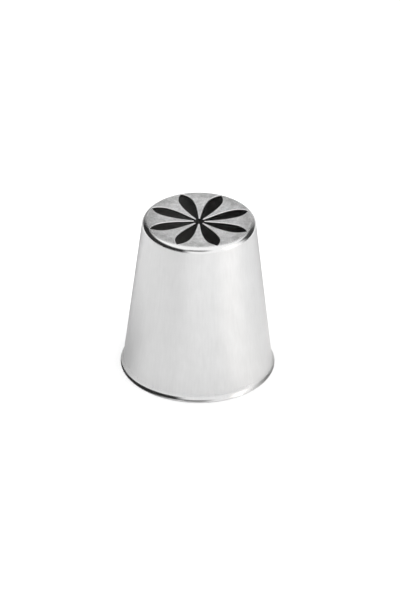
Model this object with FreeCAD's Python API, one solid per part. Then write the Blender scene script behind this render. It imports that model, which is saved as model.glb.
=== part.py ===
import FreeCAD, Part
import math
import os

# Piping nozzle in thin stainless sheet, standing on its wide mouth with its cut end upwards.
# Millimetres and degrees. The origin is the centre of the ring that it stands on, and +Z is its axis.

# Body
height = 40.0            # from the table to the rim of the end
base_radius = 18.2       # outside of the wall, carried straight down to the table
face_radius = 12.03      # end, as far as the start of the shoulder
dish_depth = 0.5         # how far the end sinks from its rim to its middle
shoulder_radius = 1.6    # outside of the bend from the end into the wall
sheet = 0.5              # thickness of the metal

# Lip flared out round the mouth
lip_bend = 1.9           # outside of the bend from the wall into the lip
lip_angle = 50.0         # from the axis to the lip's slope at its rim
rim_height = 0.2         # upright edge of the rim, from the table

# Flower cut through the end
petal_count = 8
petal_width = 3.34       # at its widest
flank_angle = 14.0       # from a petal's centre line to its straight side
side_radius = 17.4       # curve from the straight side to the widest place
tip_overrun = 0.38       # how far a petal's point runs past the end's rim, into the shoulder
eye_radius = 1.2         # round opening where the petals meet

X_AXIS = FreeCAD.Vector(1, 0, 0)
Y_AXIS = FreeCAD.Vector(0, 1, 0)
Z_AXIS = FreeCAD.Vector(0, 0, 1)
ORIGIN = FreeCAD.Vector(0, 0, 0)
SAME_POINT = 1e-6        # closer than this, two ends of an outline are one point

# The wall is the straight line from the base that just touches the round of the shoulder
shoulder_z = height - shoulder_radius
base_to_shoulder = math.hypot(base_radius - face_radius, shoulder_z)
taper = math.atan2(base_radius - face_radius, shoulder_z) - math.asin(shoulder_radius / base_to_shoulder)

# The bend touches the wall above and ends on the rim below, and the sheet is cut level at the table
lip_slope = math.radians(lip_angle)
bend_z = rim_height + lip_bend * math.sin(lip_slope)
bend_radius = base_radius - bend_z * math.tan(taper) + lip_bend / math.cos(taper)
lip_radius = bend_radius - lip_bend * math.cos(lip_slope)
foot_slope = math.asin(bend_z / (lip_bend + sheet))
foot_inner_radius = bend_radius - (lip_bend + sheet) * math.cos(foot_slope)


def arc(centre, radius, start, end, upward):
    """Three points of an arc about centre, by its angles from +X towards the direction upward."""
    return [
        centre + X_AXIS * (radius * math.cos(angle)) + upward * (radius * math.sin(angle))
        for angle in (start, (start + end) / 2, end)
    ]


def closed_wire(pieces):
    """Wire through arcs of three points and corners of one, with straight lines where they don't meet."""
    edges = []
    for piece, following in zip(pieces, pieces[1:] + pieces[:1]):
        if len(piece) == 3:
            edges.append(Part.Arc(*piece).toShape())
        if not piece[-1].isEqual(following[0], SAME_POINT):
            edges.append(Part.LineSegment(piece[-1], following[0]).toShape())
    return Part.Wire(edges)


def turned(pieces):
    """Solid of revolution about the axis, from its section on the +X side."""
    return Part.Face(closed_wire(pieces)).revolve(ORIGIN, Z_AXIS, 360)


def corner(radius, z):
    """One corner of a turned piece's section."""
    return [FreeCAD.Vector(radius, 0, z)]


def seam_corner(depth):
    """Corner of the seam between wall and end, this deep below the outside, square to the wall."""
    radius = shoulder_radius - depth
    return corner(face_radius + radius * math.cos(taper), shoulder_z + radius * math.sin(taper))


def cone_wall():
    """Drawn conical tube, from the lip that it stands on to the end of the shoulder's bend."""
    bend_centre = FreeCAD.Vector(bend_radius, 0, bend_z)
    return turned([
        corner(lip_radius, 0),
        arc(bend_centre, lip_bend, lip_slope - math.pi, taper - math.pi, Z_AXIS),
        seam_corner(0),
        seam_corner(sheet),
        arc(bend_centre, lip_bend + sheet, taper - math.pi, foot_slope - math.pi, Z_AXIS),
    ])


def petal_outline():
    """Drop-shaped petal along +X: straight sides, a curve to the widest place, and a pointed tip."""
    flank = math.radians(flank_angle)
    half_width = petal_width / 2
    widest = half_width / math.tan(flank) + side_radius * math.tan(flank / 2)
    tip = face_radius + tip_overrun
    nose_radius = ((tip - widest) ** 2 + half_width ** 2) / (2 * half_width)
    nose_end = math.atan2(nose_radius - half_width, tip - widest)
    upper_side = [
        [FreeCAD.Vector(math.cos(flank), math.sin(flank), 0) * (eye_radius / 2)],
        arc(
            FreeCAD.Vector(widest, half_width - side_radius, 0),
            side_radius, math.pi / 2 + flank, math.pi / 2, Y_AXIS,
        ),
        arc(
            FreeCAD.Vector(widest, half_width - nose_radius, 0),
            nose_radius, math.pi / 2, nose_end, Y_AXIS,
        ),
    ]
    lower_side = [
        [FreeCAD.Vector(point.x, -point.y, point.z) for point in reversed(piece)]
        for piece in reversed(upper_side)
    ]
    return closed_wire(upper_side + lower_side)


def flower_cutters():
    """Prisms that cut the petals and the eye, reaching one sheet above and below the end."""
    foot = Z_AXIS * (height - dish_depth - 2 * sheet)
    depth = dish_depth + 3 * sheet
    petal = Part.Face(petal_outline()).extrude(Z_AXIS * depth)
    petal.translate(foot)
    cutters = [Part.makeCylinder(eye_radius, depth, foot)]
    pitch = 360 / petal_count
    for number in range(petal_count):
        one = petal.copy()
        one.rotate(ORIGIN, Z_AXIS, (number + 0.5) * pitch)
        cutters.append(one)
    return cutters


def petal_face():
    """Sunk end with its rounded shoulder and a slope one sheet inside the bend, cut with the flower."""
    shoulder_centre = FreeCAD.Vector(face_radius, 0, shoulder_z)
    shoulder = arc(shoulder_centre, shoulder_radius, taper, math.pi / 2, Z_AXIS)
    slope_reach = (shoulder_radius - sheet) * math.tan((math.pi / 2 - taper) / 4)
    up_the_wall = FreeCAD.Vector(-math.sin(taper), 0, math.cos(taper))
    blank = turned([
        corner(0, height - dish_depth),
        corner(0, height - dish_depth - sheet),
        corner(face_radius + slope_reach, height - sheet),
        [seam_corner(sheet)[0] + up_the_wall * slope_reach],
        seam_corner(sheet),
        shoulder,
    ])
    return blank.cut(flower_cutters())


os.makedirs("parts", exist_ok=True)
for name, build in (("cone_wall", cone_wall), ("petal_face", petal_face)):
    solid = build().Solids[0]
    solid.exportStep("parts/" + name + ".step")
    print(name, "valid", solid.isValid(), "volume", round(solid.Volume, 2), "mm3")
print("taper", round(math.degrees(taper), 2), "degrees a side")
print("lip", round(2 * lip_radius, 2), "mm across")
print("foot ring from radius", round(foot_inner_radius, 3), "to", round(lip_radius, 3), "mm")
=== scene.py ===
# %% [markdown]
# A flower nozzle for a piping bag
#
# The nozzle is a cone of thin stainless steel, 40 mm tall. Icing goes in at the wide mouth below and
# comes out through a flower of eight petals, cut in the slightly sunk end above. It has two pieces: the
# drawn wall with its lip, and the flower end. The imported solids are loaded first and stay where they
# are. Each one is then covered by a finer surface of the same size, because a solid's triangles are too
# coarse for polished metal, where a reflection shows every facet.

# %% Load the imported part
import math
from collections import namedtuple

import bpy
import numpy as np
from mathutils import Matrix, Vector


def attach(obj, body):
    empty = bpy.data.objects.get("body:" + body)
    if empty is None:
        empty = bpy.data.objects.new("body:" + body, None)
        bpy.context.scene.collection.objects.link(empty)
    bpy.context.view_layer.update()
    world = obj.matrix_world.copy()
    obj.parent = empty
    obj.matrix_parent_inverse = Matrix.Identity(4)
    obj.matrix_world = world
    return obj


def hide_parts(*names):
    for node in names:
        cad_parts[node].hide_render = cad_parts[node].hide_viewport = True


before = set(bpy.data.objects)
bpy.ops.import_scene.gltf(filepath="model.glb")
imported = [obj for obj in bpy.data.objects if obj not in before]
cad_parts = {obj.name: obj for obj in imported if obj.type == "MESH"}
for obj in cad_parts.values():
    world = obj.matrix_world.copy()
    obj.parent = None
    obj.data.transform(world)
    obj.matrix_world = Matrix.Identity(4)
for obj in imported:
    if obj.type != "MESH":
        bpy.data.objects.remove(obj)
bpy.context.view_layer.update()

print("packed pieces:", sorted(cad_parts))

# %% [markdown]
# The sheet and its sizes
#
# All sizes are the solids' own, in millimetres. The wall is the straight line that leaves the base and
# just touches the round of the shoulder, so its slope is worked out and not typed in.

# %% Sizes of the cone, the shoulder and the lip
MM = 0.001                # Blender works in metres
HEIGHT = 40.0             # from the table to the rim of the end
BASE_RADIUS = 18.2        # outside of the wall, carried straight down to the table
FACE_RADIUS = 12.03       # end, as far as the start of the shoulder
DISH_DEPTH = 0.5          # how far the end sinks from its rim to its middle
SHOULDER = 1.6            # outside radius of the bend from the end into the wall
SHEET = 0.5               # thickness of the metal
LIP_BEND = 1.9            # outside radius of the bend from the wall into the lip
LIP_SLOPE = math.radians(50)   # from the axis to the lip's slope at its rim
RIM_HEIGHT = 0.2          # upright edge of the rim, from the table

shoulder_height = HEIGHT - SHOULDER
taper = math.atan2(BASE_RADIUS - FACE_RADIUS, shoulder_height) - math.asin(
    SHOULDER / math.hypot(BASE_RADIUS - FACE_RADIUS, shoulder_height)
)
print("slope of the wall:", round(math.degrees(taper), 2), "degrees")

# %% [markdown]
# Surfaces from grids
#
# Both pieces are closed shells, and both can be written as a loop carried round another loop, like the
# skin of a ring. Such a surface is one grid of points that joins up in both directions, so it needs no
# caps, has no poles and can't leave a hole. A point of the plan is a complex number, x + iy, because
# turning is then a product and an arc is a centre plus a radius times a turning unit number.

# %% Arcs, lines and closed grids
CREASE = math.radians(40)     # edges that bend more than this stay sharp


def arc(centre, radius, start, end, count):
    """Points of an arc, centre + radius * e^(i angle), without the last one, which starts the next piece."""
    return centre + radius * np.exp(1j * np.linspace(start, end, count, endpoint=False))


def line(start, end, count):
    """Points evenly spaced from start towards end, without the last one."""
    return np.linspace(start, end, count, endpoint=False)


def closed_grid(name, plan, height):
    """Mesh on a grid that joins up both ways: plan gives x + iy and height gives z, in millimetres.

    Each face takes a point, its neighbour in the row, and the same two points of the next row.
    """
    height = np.broadcast_to(height, plan.shape)
    points = np.stack([plan.real, plan.imag, height], axis=-1).reshape(-1, 3) * MM
    here = np.arange(plan.size).reshape(plan.shape)
    beside = np.roll(here, -1, axis=1)
    faces = np.stack([here, beside, np.roll(beside, -1, axis=0), np.roll(here, -1, axis=0)], axis=-1)
    mesh = bpy.data.meshes.new(name)
    mesh.from_pydata(points, [], faces.reshape(-1, 4), shade_flat=False)
    mesh.set_sharp_from_angle(angle=CREASE)
    piece = bpy.data.objects.new(name, mesh)
    bpy.context.collection.objects.link(piece)
    return piece


def enclosed_volume(piece):
    """Volume inside a closed mesh in cubic mm: a sixth of the sum of a . (b x c) over its triangles."""
    mesh = piece.data
    points = np.empty(len(mesh.vertices) * 3)
    mesh.vertices.foreach_get("co", points)
    mesh.calc_loop_triangles()
    corners = np.empty(len(mesh.loop_triangles) * 3, int)
    mesh.loop_triangles.foreach_get("vertices", corners)
    a, b, c = np.moveaxis(points.reshape(-1, 3)[corners.reshape(-1, 3)], 1, 0)
    return np.einsum("ij,ij", a, np.cross(b, c)) / 6 / MM ** 3


def paint(piece, name, rows):
    """Keep one number a row of the grid on every point of that row, for the finish to read."""
    values = np.repeat(np.asarray(rows, np.float32), len(piece.data.vertices) // len(rows))
    piece.data.attributes.new(name, "FLOAT", "POINT").data.foreach_set("value", values)


# %% [markdown]
# The drawn wall
#
# A press draws the wall from flat sheet, and its foot is then flared outwards into a small lip that
# keeps the nozzle in its bag. A section carried round the axis gives all of it. The section is written
# as radius + i height and runs once round the metal: along the foot, up the rim, through the hollow
# bend of the lip, up the cone, across the sheet at the seam, down the inside and round the bend again.
# The sheet keeps its thickness, so the inside of the bend has the same centre and a larger radius.

# %% Section of the wall
RIM_ROUND = 0.09          # softened edges of the rim

out_of_wall = complex(math.cos(taper), math.sin(taper))       # square to the cone, pointing outwards
shoulder_centre = complex(FACE_RADIUS, shoulder_height)
seam_outside = shoulder_centre + SHOULDER * out_of_wall
seam_inside = shoulder_centre + (SHOULDER - SHEET) * out_of_wall
bend_height = RIM_HEIGHT + LIP_BEND * math.sin(LIP_SLOPE)
bend_radius = BASE_RADIUS - bend_height * math.tan(taper) + LIP_BEND / math.cos(taper)
bend_centre = complex(bend_radius, bend_height)
lip_radius = bend_radius - LIP_BEND * math.cos(LIP_SLOPE)
foot_slope = math.asin(bend_height / (LIP_BEND + SHEET))
foot_inner_radius = bend_radius - (LIP_BEND + SHEET) * math.cos(foot_slope)
rim_reach = RIM_ROUND * math.tan(LIP_SLOPE / 2)               # how far its upper round goes up the bend
rim_centre = complex(lip_radius - RIM_ROUND, RIM_HEIGHT - rim_reach)

rim = [
    line(foot_inner_radius, lip_radius - RIM_ROUND, count=4),
    arc(complex(lip_radius - RIM_ROUND, RIM_ROUND), RIM_ROUND, -math.pi / 2, 0, count=5),
    arc(rim_centre, RIM_ROUND, 0, LIP_SLOPE, count=5),
    arc(bend_centre, LIP_BEND, LIP_SLOPE - rim_reach / LIP_BEND - math.pi, taper - math.pi, count=16),
]
outside = [
    line(bend_centre - LIP_BEND * out_of_wall, seam_outside, count=24),
    line(seam_outside, seam_inside, count=2),
]
inside = [
    line(seam_inside, bend_centre - (LIP_BEND + SHEET) * out_of_wall, count=16),
    arc(bend_centre, LIP_BEND + SHEET, taper - math.pi, foot_slope - math.pi, count=10),
]
wall_section = np.concatenate(rim + outside + inside)
print("points round the wall's section:", wall_section.size, "lip radius:", round(lip_radius, 2), "mm")

# %% The wall, turned round its axis
ROUND_STEPS = 320


def turned(name, section):
    """Section carried round the axis: plan = radius * e^(i angle), height = the section's own."""
    turns = np.exp(2j * np.pi * np.arange(ROUND_STEPS) / ROUND_STEPS)
    return closed_grid(name, section.real[:, None] * turns, section.imag[:, None])


wall = turned("drawn_wall", wall_section)
paint(wall, "inner_side", np.arange(wall_section.size) >= sum(map(len, rim + outside)))
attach(wall, "root")
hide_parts("cone_wall")
print("wall:", len(wall.data.polygons), "faces,", round(enclosed_volume(wall)), "cubic mm of steel")

# %% [markdown]
# The flower
#
# The flower is cut right through the end. One petal starts at the round eye in the middle with two
# straight sides, curves gently to its widest place and closes in a blunt point. The corners get the
# small radius that any cutting tool leaves. Only half a petal is drawn, along +x: the other half is its
# mirror image, a complex conjugate, and a product with eight unit numbers puts all petals in place.

# %% Outline of the flower
PETALS = 8
PETAL_WIDTH = 3.34            # at its widest
FLANK = math.radians(14.0)    # from a petal's middle line to its straight side
SIDE_RADIUS = 17.4            # curve from the straight side to the widest place
TIP_OVERRUN = 0.38            # how far a petal's point runs past the end's rim, into the shoulder
EYE_RADIUS = 1.2              # round opening where the petals meet
TIP_ROUND = 0.1               # at the petal's point
TONGUE_ROUND = 0.1            # at the two corners of a tongue of metal between petals


def half_petal():
    """Half of a petal's edge as x + iy, from the middle of a tongue's end to the petal's point.

    In order: the eye, the tongue's corner, the straight side, the curve to the widest place, the nose
    and the point. Each arc starts in the direction in which the stretch before it ends.
    """
    half_width = PETAL_WIDTH / 2
    widest = half_width / math.tan(FLANK) + SIDE_RADIUS * math.tan(FLANK / 2)
    reach = FACE_RADIUS + TIP_OVERRUN - widest
    nose_radius = (reach ** 2 + half_width ** 2) / (2 * half_width)
    nose_centre = complex(widest, half_width - nose_radius)
    nose_drop = nose_radius - half_width
    tip_reach = math.sqrt((nose_radius - TIP_ROUND) ** 2 - nose_drop ** 2)
    nose_end = math.atan2(nose_drop, tip_reach)
    side_centre = complex(widest, half_width - SIDE_RADIUS)
    side_start = side_centre + SIDE_RADIUS * np.exp(1j * (math.pi / 2 + FLANK))
    corner_angle = FLANK + math.asin(TONGUE_ROUND / (EYE_RADIUS + TONGUE_ROUND))
    corner_centre = (EYE_RADIUS + TONGUE_ROUND) * np.exp(1j * corner_angle)
    flank_start = corner_centre - 1j * TONGUE_ROUND * np.exp(1j * FLANK)
    return np.concatenate([
        arc(0, EYE_RADIUS, math.pi / PETALS, corner_angle, count=3),
        arc(corner_centre, TONGUE_ROUND, corner_angle + math.pi, FLANK + 1.5 * math.pi, count=6),
        line(flank_start, side_start, count=10),
        arc(side_centre, SIDE_RADIUS, math.pi / 2 + FLANK, math.pi / 2, count=9),
        arc(nose_centre, nose_radius, math.pi / 2, nose_end, count=14),
        arc(complex(widest + tip_reach, 0), TIP_ROUND, nose_end, 0, count=4),
        [widest + tip_reach + TIP_ROUND],
    ])


one_side = half_petal()
petal = np.concatenate([one_side, one_side[-2:0:-1].conj()])
petal_turns = np.exp(2j * np.pi * (0.5 - np.arange(PETALS)) / PETALS)   # +x lies midway between two
flower = (petal_turns[:, None] * petal).ravel()
print("points round the flower:", flower.size, "reach:", round(np.abs(flower).max(), 2), "mm")

# %% [markdown]
# The flower end
#
# The metal of the end lies between the flower and the seam, so its skin is a loop carried along the
# flower: up the cut wall, over its edge, across the end, over the shoulder, across the sheet at the
# seam and back underneath. From the edge to the shoulder the radius grows evenly while the direction
# turns from the edge's own to one that is shared out evenly round the circle. So the lines fan out
# along each tongue, never cross, and meet the shoulder as even circles. The height follows from the
# radius: a shallow cone as far as the rim, because the end is slightly sunk, and then the bend.

# %% Skin of the flower end
EDGE_LEAST, EDGE_MOST = 0.1, 0.18   # softened edge of the cut, at the tongues' points and further out
EDGE_GROWTH = 0.06            # of the edge's distance from the axis, between those two
EDGE_SUPPORT = 0.03           # strip beside it that keeps the shading of the end even
FAN_RADIUS = FACE_RADIUS + 0.65   # circle, just past the petals' points, where the fan ends
RIM_SHARE = 0.3               # least share of a line's way to that circle before it counts as past the rim

along = np.roll(flower, -1) - np.roll(flower, 1)
into_metal = 1j * along / np.abs(along)
edge_round = np.clip(EDGE_GROWTH * np.abs(flower), EDGE_LEAST, EDGE_MOST)
steps = np.abs(np.roll(flower, -1) - flower)
travelled = (np.cumsum(steps) - steps) / steps.sum()
shared_angle = np.angle(flower[0]) - 2 * np.pi * travelled


def skin_height(plan, depth):
    """Height of the skin this deep below the outside: a shallow cone, then the round of the shoulder."""
    past_rim = np.abs(plan) - FACE_RADIUS
    round_height = np.sqrt((SHOULDER - depth) ** 2 - np.clip(past_rim, 0, None) ** 2)
    return shoulder_height + round_height + DISH_DEPTH * np.clip(past_rim, None, 0) / FACE_RADIUS


def edge_rows(lean):
    """Rows over the edge: flower + round * (1 - cos) into the metal, from 0 to a right angle on the end."""
    return flower + edge_round * (1 - np.cos(lean))[:, None] * into_metal


def fan_rows(share_in, share_out):
    """Rows from the edge to the fan's circle, in shares of the way to the end's rim and then past it."""
    start = flower + (edge_round + EDGE_SUPPORT) * into_metal
    near, angle = np.abs(start), np.unwrap(np.angle(start))
    rim_radius = np.maximum(FACE_RADIUS, near + RIM_SHARE * (FAN_RADIUS - near))
    radius = np.concatenate([
        near + share_in[:, None] * (rim_radius - near),
        rim_radius + share_out[:, None] * (FAN_RADIUS - rim_radius),
    ])
    turned_share = (radius - near) / (FAN_RADIUS - near)
    return radius * np.exp(1j * (angle + turned_share * (shared_angle - angle)))


def shoulder_rows(depth, lean):
    """Circles over the shoulder, for angles from upright: radius = rim + bend * sin, height by cos."""
    bend = SHOULDER - depth
    plan = (FACE_RADIUS + bend * np.sin(lean))[:, None] * np.exp(1j * shared_angle)
    return plan, np.broadcast_to((shoulder_height + bend * np.cos(lean))[:, None], plan.shape)


print("length of the cut:", round(steps.sum(), 1), "mm")

# %% The flower end, assembled row by row
EDGE_ROWS, FAN_ROWS, RIM_ROWS = 5, 7, 4     # over the edge, across the end, past its rim
SHOULDER_ROWS, UNDER_ROWS = 15, 9           # round the bend, outside and inside
UNDERSIDE = 0.5                             # inner_side there, between 0 outside and 1 on the cut wall
seam_lean = math.pi / 2 - taper


def lean_after_fan(depth, count):
    """Angles from the fan's circle down to the seam, on the skin this deep below the outside."""
    return np.linspace(math.asin((FAN_RADIUS - FACE_RADIUS) / (SHOULDER - depth)), seam_lean, count)[1:]


over_edge = np.linspace(0, math.pi / 2, EDGE_ROWS)
edge_top = edge_rows(over_edge)
edge_drop = edge_round * (1 - np.sin(over_edge))[:, None]
fan = fan_rows(np.linspace(0, 1, FAN_ROWS), np.linspace(0, 1, RIM_ROWS)[1:])
top_plan, top_height = shoulder_rows(0, lean_after_fan(0, SHOULDER_ROWS))
under_plan, under_height = shoulder_rows(SHEET, lean_after_fan(SHEET, UNDER_ROWS)[::-1])
end_plan = np.concatenate([edge_top, fan, top_plan, under_plan, fan[::-1], edge_top[::-1]])
end_height = np.concatenate([
    skin_height(edge_top, 0) - edge_drop,
    skin_height(fan, 0),
    top_height,
    under_height,
    skin_height(fan, SHEET)[::-1],
    (skin_height(edge_top, SHEET) + edge_drop)[::-1],
])
row_count = [len(rows) for rows in (edge_top, fan, top_plan, under_plan, fan, edge_top)]
inner_edge = np.cos(over_edge) ** 4       # the dull side starts low on the softened edge
# on the cut wall the finish darkens the colour as painted shade inside the cuts, and half as much underneath
inner_rows = np.repeat([0, 0, UNDERSIDE, UNDERSIDE, 1], row_count[1:])

end = closed_grid("flower_end", end_plan, end_height)
# the cut's softened edge: rubbed smoother, and its colour lightened there as a painted highlight of its
# glint
paint(end, "rubbed_edge", np.concatenate([np.sin(over_edge), np.zeros(sum(row_count[1:]))]))
paint(end, "inner_side", np.concatenate([inner_edge, inner_rows]))
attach(end, "root")
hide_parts("petal_face")
print("flower end:", len(end.data.polygons), "faces,", round(enclosed_volume(end)), "cubic mm of steel")

# %% [markdown]
# Writing finishes as expressions
#
# A finish is a small calculation over the surface. The class below holds one socket of a material, so
# that sums and products of sockets can be written as they are in Python, and each adds its Math node.
# Everything that isn't arithmetic comes from its one method for any other node.

# %% A socket that can be calculated with
class Signal:
    """One output socket. Arithmetic on it adds Math nodes to its material."""

    def __init__(self, tree, socket=None):
        self.tree = tree
        self.socket = socket

    def node(self, kind, settings=None, sockets=None, output=0):
        """Add a node of any type, set its settings, then fill or link its sockets; returns one output."""
        added = self.tree.nodes.new(kind)
        for key, value in (settings or {}).items():
            setattr(added, key, value)
        for key, value in (sockets or {}).items():
            if isinstance(value, Signal):
                self.tree.links.new(value.socket, added.inputs[key])
            else:
                added.inputs[key].default_value = value
        return Signal(self.tree, added.outputs[output])

    def calculate(self, operation, first, second):
        """Math node on two values, each of them a number or another Signal."""
        return self.node("ShaderNodeMath", {"operation": operation}, {0: first, 1: second})

    def __add__(self, other):
        return self.calculate("ADD", self, other)

    __radd__ = __add__

    def __sub__(self, other):
        return self.calculate("SUBTRACT", self, other)

    def __rsub__(self, other):
        return self.calculate("SUBTRACT", other, self)

    def __mul__(self, other):
        return self.calculate("MULTIPLY", self, other)

    __rmul__ = __mul__

    def fade(self, start, end):
        """0 up to start and 1 from end, with a soft change between, in either direction."""
        limits = {"Value": self, "From Min": start, "From Max": end}
        return self.node("ShaderNodeMapRange", {"interpolation_type": "SMOOTHSTEP"}, limits)

    def between(self, low, high):
        """Number that goes from low to high as this value goes from 0 to 1."""
        return low + self * (high - low)

    def blend(self, low, high):
        """Colour that goes from low to high as this value goes from 0 to 1."""
        return self.node("ShaderNodeMix", {"data_type": "RGBA"}, {0: self, 6: low, 7: high}, output=2)


# %% What the finishes share
def grey(level, warmth=0.0):
    """Linear grey with a little red added and blue taken away."""
    return (level * (1 + warmth), level, level * (1 - warmth), 1.0)


def new_finish(name):
    """Empty material, and the place on the piece in millimetres."""
    material = bpy.data.materials.new(name)
    material.use_nodes = True
    material.node_tree.nodes.clear()
    start = Signal(material.node_tree)
    place = start.node("ShaderNodeTexCoord", output="Object")
    in_mm = start.node(
        "ShaderNodeVectorMath", {"operation": "SCALE"}, {0: place, "Scale": 1 / MM}
    )
    return material, in_mm


def coordinate(place, axis):
    """The place along X, Y or Z."""
    return place.node("ShaderNodeSeparateXYZ", None, {0: place}, output=axis)


def painted(place, name):
    """The number that was painted on the piece under this name."""
    return place.node("ShaderNodeAttribute", {"attribute_name": name}, output="Fac")


def speckle(place, stretch, roughness=0.5):
    """Noise about 0.5, with this many grains a millimetre along x, y and z."""
    scaled = place.node("ShaderNodeVectorMath", {"operation": "MULTIPLY"}, {0: place, 1: stretch})
    return place.node(
        "ShaderNodeTexNoise", None,
        {"Vector": scaled, "Scale": 1.0, "Detail": 3.0, "Roughness": roughness},
    )


def swing(noise, amount):
    """A noise about 0.5 as a change about nothing: amount * (noise - 0.5)."""
    return amount * (noise - 0.5)


def dress(piece, material, surface):
    """End a material with its surface shader, and put it on a piece."""
    output = material.node_tree.nodes.new("ShaderNodeOutputMaterial")
    material.node_tree.links.new(surface.socket, output.inputs["Surface"])
    piece.data.materials.append(material)
    print(material.name, "has", len(material.node_tree.nodes), "nodes")


# %% [markdown]
# Finish of the wall
#
# The wall is satin steel. It was polished while it turned, which leaves fine lines round the cone, and
# the press has left faint streaks up it. The lines round the cone stretch its highlights along its
# height: that is the Anisotropic setting, turned a quarter so that it works across the lines. The upper
# part's colour is lightened as painted light. Metal turns white at a glancing angle, and Specular
# Tint holds that back at the wall's sides. The lip is left bright, but for a scuffed stretch on its
# right side. The inside is never polished and is duller.

# %% Satin wall, bright lip, dull inside
SATIN, BRIGHT, DULL = 0.33, 0.11, 0.46      # roughness of the wall, the lip and the inside
WALL_DARK, WALL_LIGHT, WALL_INSIDE = grey(0.54), grey(0.63), grey(0.48)
GLANCING = grey(0.82)                       # what is left of the brightness at a glancing angle
QUARTER_TURN = 0.25                         # turns the stretch from round the axis to across the lines
LIP_TOP, LIP_BRIGHT = 2.0, 1.3              # heights where the lip's polish starts and is full
SCUFF_START, SCUFF_FULL = 12.0, 15.0        # places along x where its scuffs start and are full
# painted light: the wall's colour is lightened between these heights
BUFF_START, BUFF_FULL = 14.0, 38.0          # heights between which the wall gets brighter

material, place = new_finish("satin_wall_steel")
height = coordinate(place, "Z")
inner = painted(place, "inner_side")
lip = height.fade(LIP_TOP, LIP_BRIGHT) * (1 - inner)
scuffed = coordinate(place, "X").fade(SCUFF_START, SCUFF_FULL)
# painted light, brighter towards the top of the wall
buffed = height.fade(BUFF_START, BUFF_FULL)
fine_lines = speckle(place, (0.04, 0.04, 7.0))
draw_lines = speckle(place, (2.2, 2.2, 0.06))
clouds = speckle(place, (0.3, 0.3, 0.2))

satin = SATIN + swing(fine_lines, 0.05) + swing(draw_lines, 0.08) + swing(clouds, 0.08)
scuffed_lip = BRIGHT + scuffed * (0.1 + 0.4 * draw_lines)
roughness = inner.between(lip.between(satin, scuffed_lip), DULL)
# the last term is painted light on the upper wall
tone = 0.5 + swing(fine_lines, 0.2) + swing(draw_lines, 0.8) + swing(clouds, 0.9) + 0.35 * buffed
colour = inner.blend(tone.blend(WALL_DARK, WALL_LIGHT), WALL_INSIDE)
lines = (fine_lines + draw_lines) * (1 - 0.8 * lip)
relief = place.node("ShaderNodeBump", None, {"Strength": 0.08, "Distance": 0.02 * MM, "Height": lines})
surface = place.node("ShaderNodeBsdfPrincipled", None, {
    "Base Color": colour, "Metallic": 1.0, "Roughness": roughness, "Normal": relief,
    "Anisotropic": 0.35, "Anisotropic Rotation": QUARTER_TURN, "Specular Tint": GLANCING,
})
dress(wall, material, surface)

# %% [markdown]
# Finish of the flower end
#
# The end is matt and mottled, as blasted or pickled steel is. Its colour is darkened towards its rim as
# painted shade and lightened at the tongues' points as a painted highlight. It was ground while it turned,
# so its reflections stretch outwards from the axis, as the wall's do along its height. The shoulder round
# it is polished, keeps faint turning marks and goes over into the satin of the wall at its foot. The cut
# went through before the last polish, so its edge is rubbed smoother, and its colour is lightened along
# it as a painted highlight. The underside is duller, and the cut wall is dull, with its colour darkened
# as painted shade inside the cuts.

# %% Matt end, polished shoulder, rubbed edges
MATT, RUBBED, DULL_CUT = 0.38, 0.2, 0.42    # roughness of the end, the rubbed edge and the cut wall
END_DARK, END_LIGHT = grey(0.27), grey(0.84)   # the two ends of its mottling
# colour of the cut wall, darkened as painted shade inside the cuts
# colour of the cut's edge, lightened as a painted highlight along the cut
RUBBED_STEEL, CUT_STEEL = grey(0.88), grey(0.14)
SHOULDER_STEEL, FOOT_STEEL = grey(0.68), grey(0.61)   # the shoulder's top and foot
POLISH_START, POLISH_FULL = FACE_RADIUS + 0.1, FACE_RADIUS + 0.8   # radii where its polish sets in
FOOT_TOP, FOOT_SATIN = 38.95, 38.65         # heights where its foot starts and is as satin as the wall
# painted shade: the end's colour is darkened from this radius towards its rim
SHADE_START = 9.0                           # radius from which the end darkens towards its rim
# painted highlight: the tongues' colour is lightened towards their points
SHINE_START, SHINE_FULL = 4.5, 1.3          # radii between which the tongues get brighter

material, place = new_finish("matt_end_steel")
in_plan = place.node("ShaderNodeVectorMath", {"operation": "MULTIPLY"}, {0: place, 1: (1, 1, 0)})
from_axis = place.node("ShaderNodeVectorMath", {"operation": "LENGTH"}, {0: in_plan}, output="Value")
inner = painted(place, "inner_side")
# mask of the rubbed edge, which also carries its painted highlight
rubbed = painted(place, "rubbed_edge")
polish = from_axis.fade(POLISH_START, POLISH_FULL)
foot = coordinate(place, "Z").fade(FOOT_TOP, FOOT_SATIN)
grain = speckle(place, (2.6, 1.7, 2.2), roughness=0.6)
mottle = speckle(place, (0.6, 0.7, 0.6))
rings = place.node("ShaderNodeTexNoise", {"noise_dimensions": "1D"}, {
    "W": from_axis + 0.15 * mottle, "Scale": 9.0, "Detail": 2.0,
})

matt = MATT + swing(mottle, 0.2) + swing(grain, 0.14)
polished = foot.between(BRIGHT + swing(rings, 0.1), SATIN)
roughness = inner.between(rubbed.between(polish.between(matt, polished), RUBBED), DULL_CUT)
# painted shade: the end's colour gets darker towards its rim
rim_shade = 0.24 * from_axis.fade(SHADE_START, FACE_RADIUS)
# painted highlight on the colour at the tongues' points
point_shine = 0.3 * from_axis.fade(SHINE_START, SHINE_FULL)
tone = 0.7 + swing(grain, 0.85) + swing(mottle, 0.95) + point_shine - rim_shade
outer_colour = polish.blend(tone.blend(END_DARK, END_LIGHT), foot.blend(SHOULDER_STEEL, FOOT_STEEL))
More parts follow.
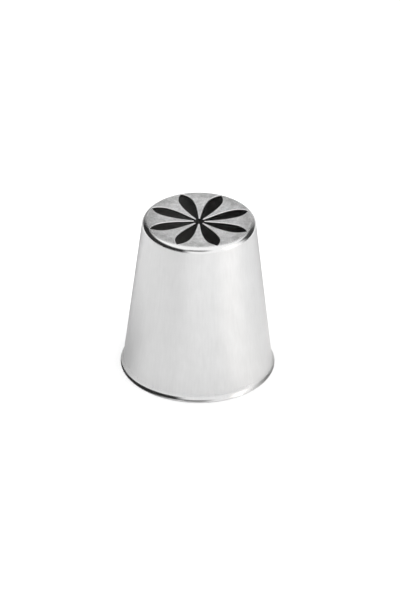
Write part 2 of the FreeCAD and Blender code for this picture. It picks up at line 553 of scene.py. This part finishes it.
# the cut wall and underside are darkened here as painted shade
# the cut's edge is lightened here as a painted highlight
colour = inner.blend(rubbed.blend(outer_colour, RUBBED_STEEL), CUT_STEEL)
marks = (grain + 0.5 * mottle) * (1 - polish) + 0.2 * polish * (rings + mottle)
relief = place.node("ShaderNodeBump", None, {"Strength": 0.25, "Distance": 0.03 * MM, "Height": marks})
surface = place.node("ShaderNodeBsdfPrincipled", None, {
    "Base Color": colour, "Metallic": 1.0, "Roughness": roughness, "Normal": relief,
    "Anisotropic": 0.6, "Anisotropic Rotation": QUARTER_TURN,
})
dress(end, material, surface)

# %% [markdown]
# The table
#
# Polished metal has no look of its own: it shows what stands round it. So the studio is part of the
# finish. A pale table fills the lower half of what the cone sees. A small grey card lies inside the
# nozzle: the inner wall mirrors it, so it sets how dark the petals look. Every sheet of the studio is a
# grid with a cover painted on it, which mixes its matt or glowing surface with a clear one, so that a
# sheet can end in a soft edge.

# %% Table, and the card inside the nozzle
TABLE_HALF, TABLE_HEIGHT = 3.0, -0.00002    # metres; just under the foot, so that no plane is shared
INSIDE_HALF, INSIDE_HEIGHT = 0.012, 0.0001
WHITE, DARK_GREY = 0.97, 0.22
WARMTH = 0.03                               # of the light from the window

scene = bpy.context.scene
scene.view_settings.view_transform = "Standard"


def stage_piece(name, points, level, cover, glow=0.0):
    """Sheet of the studio on a grid of points, matt grey or glowing: solid where cover is 1, clear at 0."""
    here = np.arange(cover.size).reshape(cover.shape)
    faces = np.stack([here[:-1, :-1], here[:-1, 1:], here[1:, 1:], here[1:, :-1]], axis=-1)
    mesh = bpy.data.meshes.new(name)
    mesh.from_pydata(points.reshape(-1, 3), [], faces.reshape(-1, 4))
    piece = bpy.data.objects.new(name, mesh)
    scene.collection.objects.link(piece)
    paint(piece, "cover", cover.ravel())
    material, place = new_finish(name)
    if glow:
        sheet = place.node("ShaderNodeEmission", None, {"Color": grey(level, WARMTH), "Strength": glow})
    else:
        sheet = place.node("ShaderNodeBsdfDiffuse", None, {"Color": grey(level)})
    clear = place.node("ShaderNodeBsdfTransparent")
    surface = place.node("ShaderNodeMixShader", None, {0: painted(place, "cover"), 1: clear, 2: sheet})
    dress(piece, material, surface)
    return piece


def level_sheet(name, half, height, level):
    """Square sheet round the axis at one height."""
    x, y = np.meshgrid([-half, half], [-half, half])
    stage_piece(name, np.stack([x, y, 0 * x + height], axis=-1), level, np.ones_like(x))


level_sheet("table", TABLE_HALF, TABLE_HEIGHT, WHITE)
level_sheet("card_inside", INSIDE_HALF, INSIDE_HEIGHT, DARK_GREY)

# %% [markdown]
# Cards round the nozzle
#
# A photographer shapes shiny metal with cards, and here each card is bent round the nozzle as a part of
# a sphere. Black ones on the left, behind and in front draw the dark lines that shape the shoulder and
# the lip. Grey ones at the back and higher up tone down the end, a low white strip close to the foot
# lights the lip from the left, and a glowing card on the right is the window. Patches on the table shade
# or brighten what the cone mirrors. All of them are hidden from the camera and cast no shadow, so they
# act through the metal alone.

# %% How cards and patches are made
CARD_STEPS, CARD_RISES = 61, 25   # points along a card and up it
LAYER = 0.000004                  # metres in height from one patch on the table to the next
SHADE_LEVEL, GLOW_LEVEL = 0.02, 1.0
Span = namedtuple("Span", "low high rise fall")   # two ends, and how far each edge is feathered


def toward(azimuth, elevation):
    """Unit vector: azimuth from the front towards the right, elevation above the table, in degrees."""
    a, e = np.radians(azimuth), np.radians(elevation)
    return np.stack([np.sin(a) * np.cos(e), -np.cos(a) * np.cos(e), np.sin(e) + 0 * a], axis=-1)


def feathered(values, span):
    """0 at both ends of a span, up to 1 within its rise and its fall: t * t * (3 - 2 t)."""
    t = np.clip(np.minimum((values - span.low) / span.rise, (span.high - values) / span.fall), 0, 1)
    return t * t * (3 - 2 * t)


def hide_card(card):
    """Let a card act through polished metal only: no camera, no shadow, no part in soft light."""
    card.visible_camera = False
    card.visible_diffuse = False
    card.visible_shadow = False


def bent_card(name, distance, azimuths, elevations, level, strength=1.0, glow=0.0, tilt=0.0):
    """Card bent round the nozzle as part of a sphere, in metres and degrees.

    The tilt raises the card's right end and lowers its left end by this much in all.
    """
    azimuth, elevation = np.meshgrid(
        np.linspace(azimuths.low, azimuths.high, CARD_STEPS),
        np.linspace(elevations.low, elevations.high, CARD_RISES),
    )
    cover = feathered(azimuth, azimuths) * feathered(elevation, elevations)
    tilted = elevation + np.linspace(-tilt / 2, tilt / 2, CARD_STEPS)
    points = toward(azimuth, tilted) * distance
    hide_card(stage_piece(name, points, level, strength * cover, glow))


def table_patch(name, layer, azimuths, radii, strength, glow=0.0):
    """Soft shade or glow lying on the table between two radii, in metres and degrees.

    An inner radius below nothing moves the inner feathering under the nozzle, where it isn't seen.
    The layers lie one above the other, because patches in one plane would show through each other.
    """
    azimuth, radius = np.meshgrid(
        np.linspace(azimuths.low, azimuths.high, CARD_STEPS),
        np.linspace(max(radii.low, 0), radii.high, CARD_RISES),
    )
    cover = feathered(azimuth, azimuths) * feathered(radius, radii)
    points = toward(azimuth, 0) * radius[..., None]
    points[..., 2] = TABLE_HEIGHT + layer * LAYER
    level = GLOW_LEVEL if glow else SHADE_LEVEL
    hide_card(stage_piece(name, points, level, strength * cover, glow))


# %% Cards and patches of this studio
BLACK, SOFT_GREY, MID_GREY, WINDOW = 0.03, 0.3, 0.6, 1.0
WINDOW_GLOW, PATCH_GLOW = 1.8, 3.0

bent_card("card_left", 0.30, Span(-172, -10, 40, 22), Span(-15, 51, 14, 12), BLACK, tilt=9)
bent_card("card_left_high", 0.315, Span(-185, -104, 44, 14), Span(25, 80, 12, 30), SOFT_GREY, strength=0.5)
bent_card("strip_left", 0.08, Span(-130, -8, 50, 12), Span(0, 9, 1, 5), WHITE)
bent_card("card_left_back", 0.28, Span(-210, -140, 30, 20), Span(-30, 20, 10, 14), BLACK, strength=0.55)
bent_card("card_right_back", 0.31, Span(84, 168, 26, 40), Span(-28, 47, 20, 12), BLACK, strength=0.98)
bent_card("card_right_high", 0.315, Span(104, 185, 14, 44), Span(25, 80, 12, 30), SOFT_GREY, strength=0.35)
bent_card("card_back", 0.32, Span(126, 233, 16, 16), Span(-14, 68, 12, 12), MID_GREY)
bent_card("card_front", 0.29, Span(-28, 36, 12, 30), Span(28, 61, 10, 10), BLACK, strength=0.75)
bent_card("window_right", 1.1, Span(46, 88, 14, 16), Span(-4, 56, 14, 18), WINDOW, glow=WINDOW_GLOW)
table_patch("shade_back", 1, Span(118, 240, 60, 34), Span(-0.11, 0.31, 0.11, 0.11), 0.55)
table_patch("shade_left", 2, Span(-190, -58, 40, 36), Span(-0.03, 0.068, 0.03, 0.045), 0.3)
table_patch("glow_right", 3, Span(24, 96, 29, 38), Span(-0.08, 0.3, 0.08, 0.1), 0.115, glow=PATCH_GLOW)
table_patch("glow_foot", 4, Span(60, 160, 35, 40), Span(0.018, 0.06, 0.002, 0.03), 0.07, glow=PATCH_GLOW)

# %% [markdown]
# The light
#
# Soft light comes from all sides, as in a light tent, so the world itself is white. Two lamps are added.
# The one on the right puts a streak on the metal. The other only has to clear the table of the nozzle's
# shadow on the left, so it is switched off for glossy rays, and the metal doesn't mirror it.

# %% Lights
TENT_LIGHT = 1.3

world = bpy.data.worlds.new("studio")
scene.world = world
world.use_nodes = True
world.node_tree.nodes["Background"].inputs["Color"].default_value = grey(1.0)
world.node_tree.nodes["Background"].inputs["Strength"].default_value = TENT_LIGHT


def soft_light(name, azimuth, elevation, distance, width, height, radiance, in_metal):
    """Rectangular light aimed at the nozzle; its power is radiance * area * pi.

    Where in_metal is false, metal doesn't mirror it, and it lights matt surfaces alone.
    """
    light = bpy.data.lights.new(name, "AREA")
    light.shape = "RECTANGLE"
    light.size = width
    light.size_y = height
    light.energy = radiance * width * height * math.pi
    lamp = bpy.data.objects.new(name, light)
    place = Vector(toward(azimuth, elevation)) * distance
    lamp.location = place
    lamp.rotation_euler = (-place).to_track_quat("-Z", "Y").to_euler()
    lamp.visible_camera = False
    lamp.visible_glossy = in_metal
    scene.collection.objects.link(lamp)
    print(name, "gives", round(light.energy, 1), "W")


soft_light(
    "light_right", azimuth=68, elevation=26, distance=1.0, width=0.2, height=0.5, radiance=2.0,
    in_metal=True,
)
soft_light(
    "light_table", azimuth=-110, elevation=45, distance=1.0, width=0.5, height=0.5, radiance=0.6,
    in_metal=False,
)

# %% [markdown]
# The camera
#
# The photograph was taken with a long lens from above the table, so the nozzle's sides hardly converge.
# The angles below were fitted to its outline. The picture is 400 x 600, and Blender's sensor width goes
# with the longer side.

# %% Camera
CAMERA_AZIMUTH, CAMERA_ELEVATION, CAMERA_ROLL = 1.87, 32.35, 0.67   # degrees
CAMERA_DISTANCE = 0.96                      # metres, as are the next two
AIM_HEIGHT, AIM_ASIDE = 0.01733, 0.00043
FOCAL_PIXELS, LONG_SIDE = 3986.5, 600       # pixels

camera = bpy.data.objects.new("camera", bpy.data.cameras.new("camera"))
scene.collection.objects.link(camera)
scene.camera = camera
camera.data.sensor_width = 36
camera.data.lens = FOCAL_PIXELS / LONG_SIDE * camera.data.sensor_width
towards_camera = Vector(toward(CAMERA_AZIMUTH, CAMERA_ELEVATION))
aim = Vector((0, 0, AIM_HEIGHT)) + Vector(toward(CAMERA_AZIMUTH + 90, 0)) * AIM_ASIDE
turn = (-towards_camera).to_track_quat("-Z", "Y").to_matrix() @ Matrix.Rotation(
    math.radians(CAMERA_ROLL), 3, "Z"
)
camera.matrix_world = Matrix.LocRotScale(aim + towards_camera * CAMERA_DISTANCE, turn, None)
camera.data.clip_start, camera.data.clip_end = 0.05, 20
print("lens:", round(camera.data.lens, 1), "mm")
